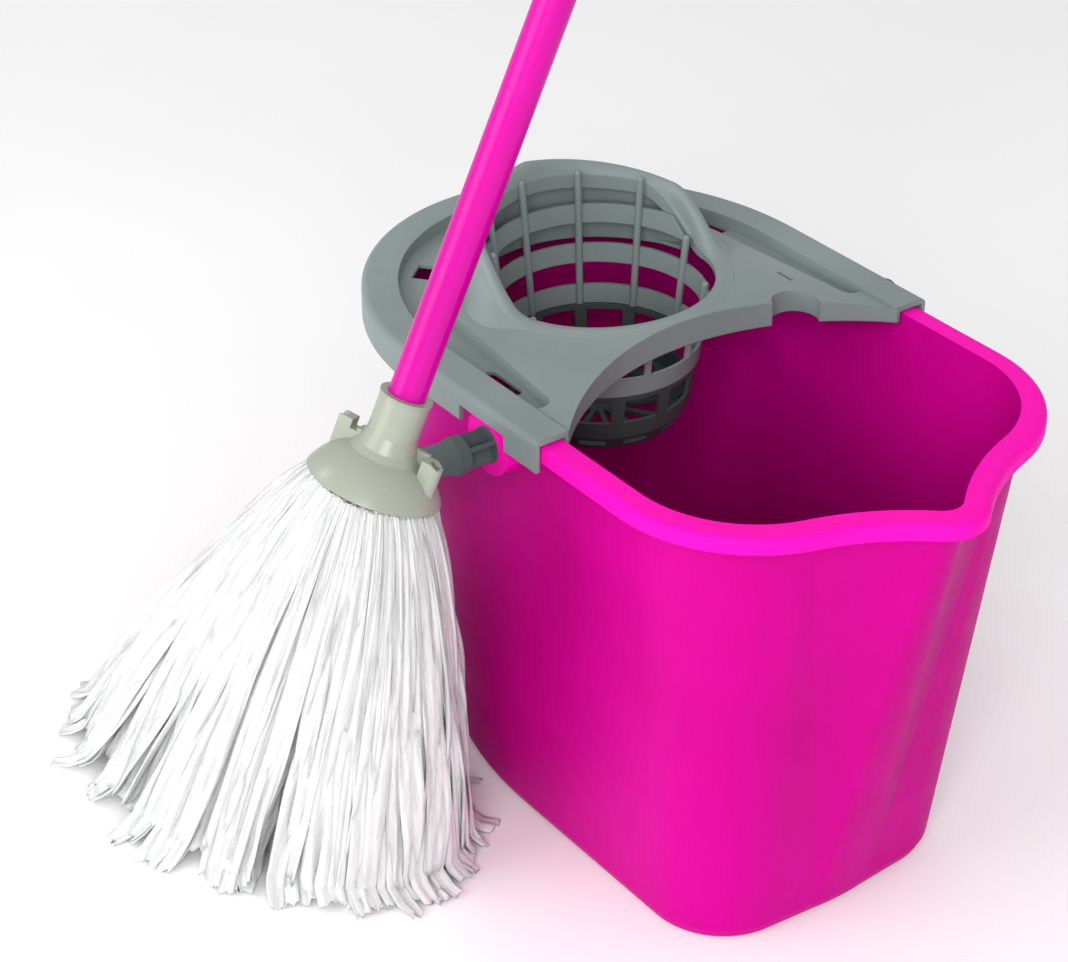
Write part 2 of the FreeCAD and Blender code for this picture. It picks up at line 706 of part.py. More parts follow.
def cup():
    """Lower basket: tall windows, a band, a row of low slots, a rounded foot and a floor of spokes."""
    knee = "9"
    knee_level = "cup_bottom + " + knee
    upper = {"Radius1": "cup_knee_rad", "Radius2": "cup_rad", "Height": "cup_top - (%s)" % knee_level}
    lower = {"Radius1": "cup_foot_rad", "Radius2": "cup_knee_rad", "Height": knee}
    upper_in = {"Radius1": "cup_knee_rad - cup_wall", "Radius2": "cup_rad - cup_wall",
                "Height": upper["Height"] + " + 0.01"}
    lower_in = {"Radius1": "cup_foot_rad - cup_wall", "Radius2": "cup_knee_rad - cup_wall",
                "Height": knee + " - cup_wall"}
    outside = fuse("cup_outside", [solid("Cone", "cup_upper", upper, BACK, "0", knee_level),
                                   solid("Cone", "cup_lower", lower, BACK, "0", "cup_bottom")])
    inside = fuse("cup_inside", [solid("Cone", "cup_upper_in", upper_in, BACK, "0", knee_level),
                                 solid("Cone", "cup_lower_in", lower_in, BACK, "0", "cup_bottom + cup_wall")])
    openings = []
    for number in range(CUP_WINDOWS):
        angle = FIRST_WINDOW + 360.0 * number / CUP_WINDOWS
        window = {"Length": "14", "Width": "20", "Height": "14.5"}
        slot = {"Length": "12", "Width": "15", "Height": "4.2"}
        openings.append(spoke_box("cup_window_%d" % number, window, "44", "cup_bottom + 19", angle, BACK))
        openings.append(spoke_box("cup_slot_%d" % number, slot, "40", "cup_bottom + 2.7", angle, BACK))
        openings.append(shape_object("cup_floor_%d" % number, cup_floor_opening(angle)))
    return cut("wringer_cup", cut("cup_wall_shell", outside, inside), fuse("cup_openings", openings))


upper_ring = common("upper_ring", cone_band("ring_three", "ring_high"),
                    shape_object("below_lip", below_lip()))
cone_pieces = [upper_ring, cone_band("ring_two", "ring_middle"), cone_band("ring_one", "ring_low")]
for number in range(RIBS):
    cone_pieces += rib(number)
wringer_cone = fuse("wringer_cone", cone_pieces)
wringer_cup = cup()


# ------------------------------------------------------------------ mop

# the cap, the holder and the stick are made about the stick's axis, with the cap's rim at 0

LEAN = V(size("mop_lean_x"), size("mop_lean_y"), 1.0)
MOP = FreeCAD.Placement(V(size("mop_x"), size("mop_y"), size("mop_z")),
                        FreeCAD.Rotation(V(0, 0, 1), LEAN))
LATCH_TURN = 28.0              # direction of the latches round the stick
STICK_TOP = "stick_foot + 0.4 + stick_length"
TUBE_BORE = "stick_rad - stick_wall"


def dome(name, radius, rise, low):
    """Spherical cap with its rim at a height, closed below; radius, rise and height are formulas."""
    ball = "(((%s)^2 + (%s)^2) / (2 * (%s)))" % (radius, rise, rise)
    sphere = solid("Sphere", name + "_ball", {"Radius": ball},
                   "0", "0", "%s + (%s) - %s" % (low, rise, ball))
    block = solid("Cylinder", name + "_block", {"Radius": radius + " + 1", "Height": rise + " + 1"},
                  "0", "0", low)
    return common(name, sphere, block)


def turned(thing, angle):
    """The same piece turned round the stick."""
    thing.Placement = FreeCAD.Placement(V(0, 0, 0), about_z(angle))
    return thing


def lug():
    """Half-round housing for a hook, cut off on a slope, with a low fin to the socket."""
    radius = "4.6"
    way = "25"
    foot = "1"
    post = solid("Cylinder", "lug_post", {"Radius": radius, "Height": "22"}, way, "0", foot)
    back = solid("Box", "lug_back", {"Length": "5", "Width": "2 * " + radius, "Height": "22"},
                 way + " - 5", "-" + radius, foot)
    slope = solid("Box", "lug_slope", {"Length": "30", "Width": "30", "Height": "30"}, way + " - 5", "-15",
                  "25", FreeCAD.Rotation(V(0, 1, 0), 25))
    fin = solid("Box", "lug_fin", {"Length": "9", "Width": "2", "Height": "15"}, "11.5", "3", "9")
    body = cut("lug_body", fuse("lug_blank", [post, back]), slope)
    return turned(fuse("lug", [body, fin]), LATCH_TURN)


def latch_wall():
    """Upright wall on the dome, for the other hook, with a notch and a step in its top."""
    blank = solid("Box", "latch_wall_blank", {"Length": "18", "Width": "7.6", "Height": "24"},
                  "9.5", "-3.8", "1")
    rounded = round_edges("latch_wall_round", blank, 1.6, lambda edge: edge.BoundBox.XMin > 27.0)
    notch = solid("Box", "latch_notch", {"Length": "3.6", "Width": "10", "Height": "6"}, "16", "-5", "20.5")
    step = solid("Box", "latch_step", {"Length": "7", "Width": "10", "Height": "6"}, "9.5", "-5", "22.4")
    return turned(cut("latch_wall", rounded, fuse("latch_wall_cuts", [notch, step])), LATCH_TURN + 180)


def cap():
    """Dome and stick socket in one moulding, with the two latch housings."""
    flare_low = "cap_dome - 5"
    flare_knee = "cap_dome - 1"
    solids = [
        dome("cap_dome_outside", "cap_rad", "cap_dome", "0"),
        solid("Cylinder", "socket", {"Radius": "socket_rad", "Height": "socket_top - 4"}, "0", "0", "4"),
        solid("Cylinder", "socket_bead", {"Radius": "socket_rad + 0.5", "Height": "1.2"},
              "0", "0", "socket_top - 1.2"),
        solid("Cone", "socket_flare", {"Radius1": "socket_rad + 5.5", "Radius2": "socket_rad + 2.2",
                                       "Height": "4"}, "0", "0", flare_low),
        solid("Cone", "socket_taper", {"Radius1": "socket_rad + 2.2", "Radius2": "socket_rad",
                                       "Height": "7"}, "0", "0", flare_knee),
        lug(),
        latch_wall(),
    ]
    hollow = dome("cap_dome_inside", "cap_rad - cap_thick", "cap_dome - cap_thick", "-0.01")
    core = solid("Cylinder", "socket_core", {"Radius": "socket_rad - 1.2", "Height": "16"}, "0", "0", "2")
    body = fuse("cap_body", [cut("cap_shell", fuse("cap_solid", solids), hollow), core])
    openings = [
        solid("Cylinder", "below_cap", {"Radius": "cap_rad + 5", "Height": "20"}, "0", "0", "-20"),
        solid("Cylinder", "socket_bore", {"Radius": "stick_rad + 0.1", "Height": "socket_top"},
              "0", "0", "stick_foot"),
        solid("Cylinder", "thread_bore", {"Radius": "stick_rad - 1.5", "Height": "socket_top"},
              "0", "0", "4"),
    ]
    slot = {"Length": "4.4", "Width": "5.6", "Height": "26"}
    for number in range(2):
        openings.append(spoke_box("hook_slot_%d" % number, slot, "23.4", "-1", LATCH_TURN + 180 * number))
    return cut("mop_cap", body, fuse("cap_openings", openings))


def holder():
    """Disc that clamps the folded strips under the dome, with two upright hooks."""
    low = "-5"
    plate = cut("holder_plate",
                solid("Cylinder", "holder_disc", {"Radius": "holder_rad", "Height": "3"}, "0", "0", low),
                solid("Cylinder", "holder_hole", {"Radius": "9", "Height": "5"}, "0", "0", low + " - 1"))
    pieces = [plate]
    stem = {"Length": "2.6", "Width": "4.8", "Height": "22.6"}
    barb = {"Length": "3.4", "Width": "4.8", "Height": "2.4"}
    for number in range(2):
        turn = LATCH_TURN + 180 * number
        pieces.append(spoke_box("hook_stem_%d" % number, stem, "23.9", "-4", turn))
        pieces.append(spoke_box("hook_barb_%d" % number, barb, "23.9", "15.4", turn))
    return fuse("yarn_holder", pieces)


def tube():
    outside = solid("Cylinder", "tube_outside", {"Radius": "stick_rad", "Height": "stick_length"},
                    "0", "0", "stick_foot + 0.4")
    bore = solid("Cylinder", "tube_bore", {"Radius": TUBE_BORE, "Height": "stick_length + 2"},
                 "0", "0", "stick_foot - 1")
    return cut("stick_tube", outside, bore)


def plug():
    """Plug pressed into the tube's foot; its ridges stand for the thread."""
    root = "stick_rad - 2.4"
    low = 4.6
    pieces = [
        solid("Cone", "plug_point", {"Radius1": root + " - 0.8", "Radius2": root, "Height": "1"},
              "0", "0", "%g" % low),
        solid("Cylinder", "plug_shank", {"Radius": root, "Height": "stick_foot - 4.2"},
              "0", "0", "%g" % (low + 1)),
        solid("Cylinder", "plug_body", {"Radius": TUBE_BORE, "Height": "28"}, "0", "0", "stick_foot + 0.4"),
        solid("Cone", "plug_tip", {"Radius1": TUBE_BORE, "Radius2": TUBE_BORE + " - 1.5", "Height": "2"},
              "0", "0", "stick_foot + 28.4"),
    ]
    pitch = 3.2
    for number in range(4):
        level = low + 1.8 + pitch * number
        name = "plug_ridge_%d" % number
        pieces.append(solid("Cylinder", name, {"Radius": root + " + 0.8", "Height": "1.1"},
                            "0", "0", "%g" % level))
    return fuse("stick_plug", pieces)


def hanger():
    """Cap on the tube's upper end with a hole to hang it by."""
    pieces = [
        solid("Cylinder", "hanger_spigot", {"Radius": TUBE_BORE, "Height": "20"},
              "0", "0", STICK_TOP + " - 20"),
        solid("Cylinder", "hanger_collar", {"Radius": "stick_rad + 0.8", "Height": "12"},
              "0", "0", STICK_TOP),
        solid("Cone", "hanger_taper", {"Radius1": "stick_rad + 0.8", "Radius2": "stick_rad - 0.2",
                                       "Height": "14"}, "0", "0", STICK_TOP + " + 12"),
        solid("Cone", "hanger_top", {"Radius1": "stick_rad - 0.2", "Radius2": "stick_rad - 4.5",
                                     "Height": "7.5"}, "0", "0", STICK_TOP + " + 26"),
    ]
    flat = "3"
    block = {"Length": "40", "Width": "20", "Height": "30"}
    cuts = [
        solid("Box", "hanger_flat_far", block, "-20", flat, STICK_TOP + " + 13"),
        solid("Box", "hanger_flat_near", block, "-20", "-20 - " + flat, STICK_TOP + " + 13"),
        solid("Cylinder", "hanger_hole", {"Radius": "hang_hole_rad", "Height": "40"}, "0", "-20",
              STICK_TOP + " + 22", ALONG_Y),
    ]
    return cut("stick_hanger", fuse("hanger_solid", pieces), fuse("hanger_cuts", cuts))


def spread_of_strings(share):
    """Centre and two half axes of the strings, from under the cap (0) to the floor (1)."""
    top = MOP.multVec(V(0, 0, -6.0))
    foot = V(size("strings_x"), size("strings_y"), 0)
    turn = math.radians(size("strings_turn_deg"))
    grown = share ** 0.85
    level_up = (LEAN * (1 - share) + V(0, 0, 1) * share).normalize()
    along = V(math.cos(turn), math.sin(turn), 0)
    along = (along - level_up * along.dot(level_up)).normalize()
    across = level_up.cross(along)
    top_rad = size("strings_top_rad")
    long_axis = along * (top_rad + (size("strings_long") - top_rad) * grown)
    short_axis = across * (top_rad + (size("strings_short") - top_rad) * grown)
    return top + (foot - top) * share, long_axis, short_axis


def hank(name, place, around_deg):
    """One bundle of strips: an oval that keeps its place in the spreading head down to the floor."""
    angle = math.radians(around_deg)
    radius = 0.235
    wires = []
    for number, share in enumerate((0.0, 0.3, 0.65, 1.0)):
        centre, long_axis, short_axis = spread_of_strings(share)
        points = []
        for corner in range(12):
            a = math.radians(30.0 * corner)
            u = place * math.cos(angle) + radius * math.cos(a)
            v = place * math.sin(angle) + radius * math.sin(a)
            points.append(centre + long_axis * u + short_axis * v)
        wires.append(shape_object("%s_section_%d" % (name, number), Part.makePolygon(points + [points[0]])))
    return loft(name, wires)


mop_nodes = [cap(), holder(), tube(), plug(), hanger()]
for node in mop_nodes:
    node.Placement = MOP

# three inner bundles and nine outer ones, clear of each other
hanks = [hank("hank_inner_%d" % (number + 1), 0.285, 120.0 * number + 30.0) for number in range(3)]
hanks += [hank("hank_outer_%d" % (number + 1), 0.755, 40.0 * number) for number in range(9)]


# ------------------------------------------------------------------ check and write

NODES = [bucket, bail_handle, bail_grip, wringer_frame, wringer_cone, wringer_cup] + mop_nodes + hanks

doc.recompute()
for thing in doc.Objects:
    if "Invalid" in thing.State or "Error" in thing.State:
        raise RuntimeError("%s failed: %s" % (thing.Name, thing.State))
os.makedirs("parts", exist_ok=True)
for node in NODES:
    shape = node.Shape
    if shape.isNull() or not shape.isValid():
        raise RuntimeError("%s has no valid shape" % node.Name)
    node.Label = node.Name
    shape.exportStep("parts/%s.step" % node.Name)
    box_ = shape.BoundBox
    print("%-14s solids %2d volume %9.0f  x %6.1f %6.1f  y %6.1f %6.1f  z %6.1f %6.1f" % (
        node.Name, len(shape.Solids), shape.Volume, box_.XMin, box_.XMax, box_.YMin, box_.YMax,
        box_.ZMin, box_.ZMax))
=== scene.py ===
"""Looks of the mop and bucket set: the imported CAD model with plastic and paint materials, and the
mop's strips as loose cloth ribbons. Metres, in the CAD's frame: +X to the spout, +Z up."""

import math
import random

import bpy
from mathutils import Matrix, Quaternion, Vector


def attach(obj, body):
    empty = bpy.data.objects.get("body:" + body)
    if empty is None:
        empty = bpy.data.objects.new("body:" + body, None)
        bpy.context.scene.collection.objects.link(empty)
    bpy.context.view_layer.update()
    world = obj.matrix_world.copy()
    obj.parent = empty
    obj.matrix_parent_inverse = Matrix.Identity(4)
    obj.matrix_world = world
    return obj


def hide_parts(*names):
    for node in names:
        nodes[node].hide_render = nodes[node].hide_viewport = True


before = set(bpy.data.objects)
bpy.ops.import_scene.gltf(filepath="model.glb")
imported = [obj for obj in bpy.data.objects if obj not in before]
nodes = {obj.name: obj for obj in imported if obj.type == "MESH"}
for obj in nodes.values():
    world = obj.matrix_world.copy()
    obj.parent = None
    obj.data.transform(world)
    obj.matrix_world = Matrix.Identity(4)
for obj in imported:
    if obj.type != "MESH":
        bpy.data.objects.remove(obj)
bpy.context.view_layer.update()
scene = bpy.context.scene
scene.view_settings.view_transform = "Standard"


def linear(red, green, blue):
    """Scene colour of an ordinary 0 to 255 colour."""
    def one(c):
        c = c / 255.0
        return c / 12.92 if c <= 0.04045 else ((c + 0.055) / 1.055) ** 2.4
    return (one(red), one(green), one(blue), 1.0)


# ------------------------------------------------------------------ materials

class Nodes:
    """Short helper for building a material's node tree."""

    def __init__(self, name):
        self.material = bpy.data.materials.new(name)
        self.material.use_nodes = True
        self.tree = self.material.node_tree
        self.shader = self.tree.nodes["Principled BSDF"]
        self.coordinates = self.add("ShaderNodeTexCoord")

    def add(self, kind, **settings):
        node = self.tree.nodes.new(kind)
        for key, value in settings.items():
            if key in node.inputs:
                node.inputs[key].default_value = value
            else:
                setattr(node, key, value)
        return node

    def link(self, source, target):
        self.tree.links.new(source, target)

    def noise(self, scale, detail=2.0, coord=None, roughness=0.5):
        node = self.add("ShaderNodeTexNoise", Scale=scale, Detail=detail, Roughness=roughness)
        self.link(coord or self.place(), node.inputs["Vector"])
        return node.outputs["Fac"]

    def place(self):
        """Object coordinates, which are the CAD frame's metres."""
        return self.coordinates.outputs["Object"]

    def ramp(self, source, stops):
        node = self.add("ShaderNodeValToRGB")
        elements = node.color_ramp.elements
        while len(elements) < len(stops):
            elements.new(0.5)
        for element, (position, colour) in zip(elements, stops):
            element.position = position
            element.color = colour if len(colour) == 4 else (*colour, 1.0)
        self.link(source, node.inputs["Fac"])
        return node.outputs["Color"]

    def range(self, source, low, high, to_low, to_high):
        node = self.add("ShaderNodeMapRange")
        node.inputs["From Min"].default_value = low
        node.inputs["From Max"].default_value = high
        node.inputs["To Min"].default_value = to_low
        node.inputs["To Max"].default_value = to_high
        self.link(source, node.inputs["Value"])
        return node.outputs["Result"]

    def mix(self, share, first, second):
        """Colour between two colours; each argument is a socket or a value."""
        node = self.add("ShaderNodeMix", data_type="RGBA")
        colours_in = [socket for socket in node.inputs if socket.type == "RGBA"]
        share_in = [socket for socket in node.inputs if socket.type == "VALUE"][0]
        for socket, value in zip(colours_in + [share_in], (first, second, share)):
            if isinstance(value, bpy.types.NodeSocket):
                self.link(value, socket)
            else:
                socket.default_value = value
        return [socket for socket in node.outputs if socket.type == "RGBA"][0]

    def math(self, operation, first, second):
        node = self.add("ShaderNodeMath", operation=operation)
        self.link(first, node.inputs[0])
        self.link(second, node.inputs[1])
        return node.outputs["Value"]

    def bump(self, heights, edge_round=0.0):
        """Bumps stacked from (height socket, strength, distance); edges look rounded by a radius."""
        normal = None
        if edge_round:
            normal = self.add("ShaderNodeBevel", samples=3, Radius=edge_round).outputs["Normal"]
        for height, strength, distance in heights:
            node = self.add("ShaderNodeBump", Strength=strength, Distance=distance)
            self.link(height, node.inputs["Height"])
            if normal:
                self.link(normal, node.inputs["Normal"])
            normal = node.outputs["Normal"]
        self.link(normal, self.shader.inputs["Normal"])


def moulded_plastic(name, dark, light, roughness, edge_round=0.0, gloss=0.5):
    """Injection-moulded plastic: faint cloudy colour, satin grain and slightly scuffed gloss."""
    grain = 0.00012
    m = Nodes(name)
    cloud = m.noise(9.0, 3.0)
    m.link(m.ramp(cloud, [(0.35, dark), (0.65, light)]), m.shader.inputs["Base Color"])
    scuffs = m.noise(55.0, 6.0, roughness=0.65)
    m.link(m.range(scuffs, 0.3, 0.75, roughness - 0.06, roughness + 0.08), m.shader.inputs["Roughness"])
    m.bump([(m.noise(28.0, 1.0), 0.12, 0.0010), (m.noise(1400.0, 2.0), 0.25, grain)], edge_round)
    m.shader.inputs["Specular IOR Level"].default_value = gloss
    return m


RIM_LOW = 0.2680               # lower edge of the bucket's turned rim
PIVOT_BACK = -0.008            # the bail's axis across the two ears
PIVOT_LEVEL = 0.257
EAR_ROUND = 0.0175             # radius of an ear's raised ring


def bucket_plastic():
    """Magenta moulding with a painted highlight: the turned rim and the outer rings of the two ears are
    coloured a lighter magenta for the light that falls on them.
    """
    m = moulded_plastic("bucket_magenta", linear(184, 0, 126), linear(193, 0, 136),
                        roughness=0.47, gloss=0.04)
    body = m.shader.inputs["Base Color"].links[0].from_socket
    place = m.add("ShaderNodeSeparateXYZ")
    m.link(m.place(), place.inputs["Vector"])
    facing = m.add("ShaderNodeSeparateXYZ")
    m.link(m.coordinates.outputs["Normal"], facing.inputs["Vector"])

    # faces that look away from the bucket's axis
    level_place = m.add("ShaderNodeVectorMath", operation="MULTIPLY")
    level_place.inputs[1].default_value = (1.0, 1.0, 0.0)
    m.link(m.place(), level_place.inputs[0])
    radial = m.add("ShaderNodeVectorMath", operation="DOT_PRODUCT")
    m.link(level_place.outputs["Vector"], radial.inputs[0])
    m.link(m.coordinates.outputs["Normal"], radial.inputs[1])
    outward = m.range(radial.outputs["Value"], -0.02, 0.02, 0.0, 1.0)

    # painted highlight mask: the turned rim's top and outer faces, and each ear's outer ring
    above = m.range(place.outputs["Z"], RIM_LOW, RIM_LOW + 0.0006, 0.0, 1.0)
    upward = m.range(facing.outputs["Z"], 0.2, 0.5, 0.0, 1.0)
    rim = m.math("MULTIPLY", above, m.math("MAXIMUM", outward, upward))

    across = m.add("ShaderNodeVectorMath", operation="MULTIPLY")
    across.inputs[1].default_value = (1.0, 0.0, 1.0)
    m.link(m.place(), across.inputs[0])
    from_pivot = m.add("ShaderNodeVectorMath", operation="DISTANCE")
    from_pivot.inputs[1].default_value = (PIVOT_BACK, 0.0, PIVOT_LEVEL)
    m.link(across.outputs["Vector"], from_pivot.inputs[0])
    near_pivot = m.range(from_pivot.outputs["Value"], EAR_ROUND, EAR_ROUND + 0.0008, 1.0, 0.0)
    ear = m.math("MULTIPLY", near_pivot, outward)

    # the lighter magenta mixed in here is the painted highlight on the rim and the ears
    light = m.math("MAXIMUM", rim, ear)
    m.link(m.mix(light, body, linear(240, 15, 172)), m.shader.inputs["Base Color"])
    return m.material


def stick_paint():
    """Bright enamel on a thin steel tube: nearly even colour, with a long orange-peel ripple."""
    m = Nodes("stick_enamel")
    cloud = m.noise(14.0, 2.0)
    m.link(m.ramp(cloud, [(0.3, linear(186, 0, 138)), (0.7, linear(194, 0, 146))]),
           m.shader.inputs["Base Color"])
    m.link(m.range(m.noise(60.0, 4.0), 0.3, 0.7, 0.26, 0.36), m.shader.inputs["Roughness"])
    m.bump([(m.noise(420.0, 1.0), 0.10, 0.00015)])
    m.shader.inputs["Specular IOR Level"].default_value = 0.15
    m.shader.inputs["Coat Weight"].default_value = 0.08
    m.shader.inputs["Coat Roughness"].default_value = 0.15
    return m.material


def strip_cloth():
    """White non-woven viscose: long creases and fine fibres along the strip, and a little sheen."""
    m = Nodes("strip_cloth")
    strand = m.add("ShaderNodeUVMap")
    strand.uv_map = "strip"

    def along(across, length):
        """Noise drawn out along the strip; scales are per turn round it and per metre."""
        stretch = m.add("ShaderNodeMapping")
        stretch.inputs["Scale"].default_value = (across, length, 1.0)
        m.link(strand.outputs["UV"], stretch.inputs["Vector"])
        return m.noise(1.0, 4.0, stretch.outputs["Vector"], 0.55)

    crease = along(9.0, 34.0)
    fibre = along(46.0, 90.0)
    crinkle = m.noise(170.0, 3.0)
    # painted shade: the base colour follows the crease bump, darker in the creases' hollows
    tone = m.ramp(crease, [(0.3, linear(206, 207, 207)), (0.6, linear(226, 227, 226))])
    m.link(m.mix(m.range(fibre, 0.35, 0.7, 0.0, 0.3), tone, linear(202, 203, 203)),
           m.shader.inputs["Base Color"])
    m.link(m.range(crinkle, 0.3, 0.7, 0.80, 0.95), m.shader.inputs["Roughness"])
    m.bump([(crease, 0.8, 0.0018), (crinkle, 0.30, 0.0008), (fibre, 0.40, 0.0004)])
    m.shader.inputs["Specular IOR Level"].default_value = 0.2
    m.shader.inputs["Sheen Weight"].default_value = 0.10
    m.shader.inputs["Sheen Roughness"].default_value = 0.5
    m.shader.inputs["Subsurface Weight"].default_value = 0.35
    m.shader.inputs["Subsurface Radius"].default_value = (1.0, 1.0, 1.0)
    m.shader.inputs["Subsurface Scale"].default_value = 0.004
    return m.material


wringer_grey = moulded_plastic("wringer_grey", linear(120, 132, 131), linear(132, 143, 142),
                               roughness=0.44, edge_round=0.0008, gloss=0.3).material
# painted shade: the cup's grey is a darker copy of the wringer grey, for the shadow the wringer's plate
# casts on it
cup_grey_painted_shade = moulded_plastic("cup_grey_painted_shade", linear(58, 68, 67), linear(68, 79, 77),
                           roughness=0.40, edge_round=0.0006, gloss=0.3).material
bail_grey = moulded_plastic("bail_grey", linear(66, 79, 79), linear(76, 89, 89),
                            roughness=0.42, edge_round=0.0007, gloss=0.3).material
cap_beige = moulded_plastic("cap_beige", linear(146, 152, 139), linear(154, 161, 147),
                            roughness=0.28, edge_round=0.0006, gloss=0.5).material
looks = {
    "bucket_shell": bucket_plastic(),
    "bail_handle": bail_grey,
    "bail_grip": bail_grey,
    "wringer_frame": wringer_grey,
    "wringer_cone": wringer_grey,
    "wringer_cup": cup_grey_painted_shade,
    "mop_cap": cap_beige,
    "yarn_holder": cap_beige,
    "stick_plug": cap_beige,
    "stick_tube": stick_paint(),
    "stick_hanger": cap_beige,
}
for name, material in looks.items():
    mesh = nodes[name].data
    mesh.materials.clear()
    mesh.materials.append(material)


# ------------------------------------------------------------------ the mop's strips

cloth = strip_cloth()
chance = random.Random(7)

CAP_CENTRE = Vector((0.021, -0.210, 0.280))              # middle of the cap's rim
STICK_WAY = Vector((0.085, 0.400, 1.0)).normalized()     # up along the stick
FOOT = Vector((-0.135, -0.190, 0.0))                     # middle of the head on the floor
UNDER_CAP = 0.002              # how far below the rim's level the strips start
TOP_RADIUS = 0.0305            # the strips come out all round, just inside the cap's rim
FOOT_LONG = 0.138              # half length and half width of the head on the floor
FOOT_SHORT = 0.083
FOOT_TURN = math.radians(12.0)
SPREADING = 0.85               # below 1 the head spreads faster near the cap
STRIP_WIDTH = 0.0112
STRIP_THICK = 0.0008
STEPS = 34                     # lengthwise divisions of a strip
ROWS = 7                       # points across each face of a strip
RING = 2 * ROWS                # points round a strip
LOOSE_SHARE = 0.12             # share of the strips that stray, and how much more they do
LOOSE_MORE = 2.6
LYING_OUT = 0.30               # how far the lying part reaches outwards, and how far it sinks
LYING_DOWN = 0.2
FLOOR_GAP = 0.0022             # height of the outermost strips' middle lines over the floor
FLOOR_PILE = 0.004             # extra height of the innermost ones
LOWEST = 0.0006                # no point of a strip is lower
# layers of a hank, each with its share of the head's radius and its number of strips
OUTER_LAYERS = ((0.99, 11), (0.91, 11), (0.80, 9), (0.66, 6))
INNER_LAYERS = ((0.55, 8), (0.38, 6), (0.20, 4))
LYING = 0.035                  # share of the length that lies on the floor


def spread(share):
    """Centre and two half axes of the head, from under the cap (0) to the floor (1)."""
    top = CAP_CENTRE - STICK_WAY * UNDER_CAP
    grown = max(share, 0.0) ** SPREADING
    level_up = (STICK_WAY * (1 - share) + Vector((0, 0, 1)) * share).normalized()
    along = Vector((math.cos(FOOT_TURN), math.sin(FOOT_TURN), 0))
    along = (along - level_up * along.dot(level_up)).normalized()
    across = level_up.cross(along)
    centre = top.lerp(FOOT, share)
    return (centre, along * (TOP_RADIUS + (FOOT_LONG - TOP_RADIUS) * grown),
            across * (TOP_RADIUS + (FOOT_SHORT - TOP_RADIUS) * grown))


def strip_line(angle, place, reach):
    """Points and sideways directions of one strip: it keeps its place in the head, then lies out."""
    loose = LOOSE_MORE if chance.random() < LOOSE_SHARE else 1.0
    sway = [chance.uniform(0.008, 0.022) * loose for _ in range(2)]
    phase = [chance.uniform(0, 2 * math.pi) for _ in range(2)]
    rate = [chance.uniform(4.0, 9.0) for _ in range(2)]
    drift = chance.uniform(-0.05, 0.05) * loose
    points = []
    sides = []
    for step in range(STEPS + 1):
        t = step / STEPS
        share = t * reach
        lying = max(share - (1 - LYING), 0.0)
        centre, long_axis, short_axis = spread(share - lying)
        eased = min(t * 3.0, 1.0)
        turn = angle + drift * t + eased * sway[0] * math.sin(phase[0] + rate[0] * t)
        radius = place * (1 + eased * sway[1] * (math.sin(phase[1] + rate[1] * t) - 0.6))
        outward = long_axis * math.cos(turn) + short_axis * math.sin(turn)
        point = centre + outward * radius
        flat_out = Vector((outward.x, outward.y, 0)).normalized()
        point += flat_out * lying * LYING_OUT
        point.z = max(point.z - lying * LYING_DOWN, FLOOR_GAP + FLOOR_PILE * (1 - place))
        points.append(point)
        sides.append((short_axis * math.cos(turn) - long_axis * math.sin(turn)).normalized())
    return points, sides


def ribbon(points, sides, verts, faces, lengths):
    """Adds one creased strip with blunt, slightly ragged ends, its flat face turned outwards.
    It is turned by tilt at its top and by tilt and twist at its end, one strip in seven a lot; curl
    bends it across its width, and folds run along it."""
    start = len(verts)
    tilt = chance.uniform(-0.40, 0.20)
    twist = chance.uniform(-0.35, 0.35) if chance.random() < 0.85 else chance.uniform(-2.0, 2.0)
    curl = chance.uniform(-0.35, 0.55)
    phase = chance.uniform(0, 2 * math.pi)
    folds = chance.uniform(3.5, 6.5)
    wide = STRIP_WIDTH * chance.uniform(0.82, 1.12)
    travelled = 0.0
    last = len(points) - 1
    ragged = [chance.uniform(-0.0022, 0.0022) for _ in range(ROWS)]
    for index, point in enumerate(points):
        t = index / last
        way = (points[min(index + 1, last)] - points[max(index - 1, 0)]).normalized()
        side = (sides[index] - way * sides[index].dot(way)).normalized()
        turn = tilt + twist * t + 0.16 * math.sin(phase + 8.0 * t)
        flat = Quaternion(way, turn) @ side
        face_up = way.cross(flat)
        gathered = 0.50 + 0.50 * min(1.0, t / 0.4)     # half the width where it is sewn in
        breathe = 1.0 + 0.10 * math.sin(phase * 2 + 13.0 * t) - (0.16 if index == last else 0.0)
        half = wide * gathered * breathe / 2
        travelled += (point - points[max(index - 1, 0)]).length
        row = []
        for k in range(ROWS):
            s = -1 + 2 * k / (ROWS - 1)
            lift = half * curl * (s * s - 0.4)
            lift += half * 0.20 / gathered * math.sin(folds * s + phase + 2.2 * math.sin(phase + 6.0 * t))
            end = way * ragged[k] if index == last else Vector()
            row.append(point + flat * (s * half) + face_up * lift + end)
        thick = face_up * STRIP_THICK / 2
        verts.extend([co + thick for co in row] + [co - thick for co in reversed(row)])
        lengths.append(travelled)
    for index in range(last):
        for k in range(RING):
            a = start + index * RING + k
            b = start + index * RING + (k + 1) % RING
            faces.append((a, a + RING, b + RING, b))
    faces.append(tuple(start + k for k in range(RING)))
    faces.append(tuple(start + last * RING + k for k in reversed(range(RING))))


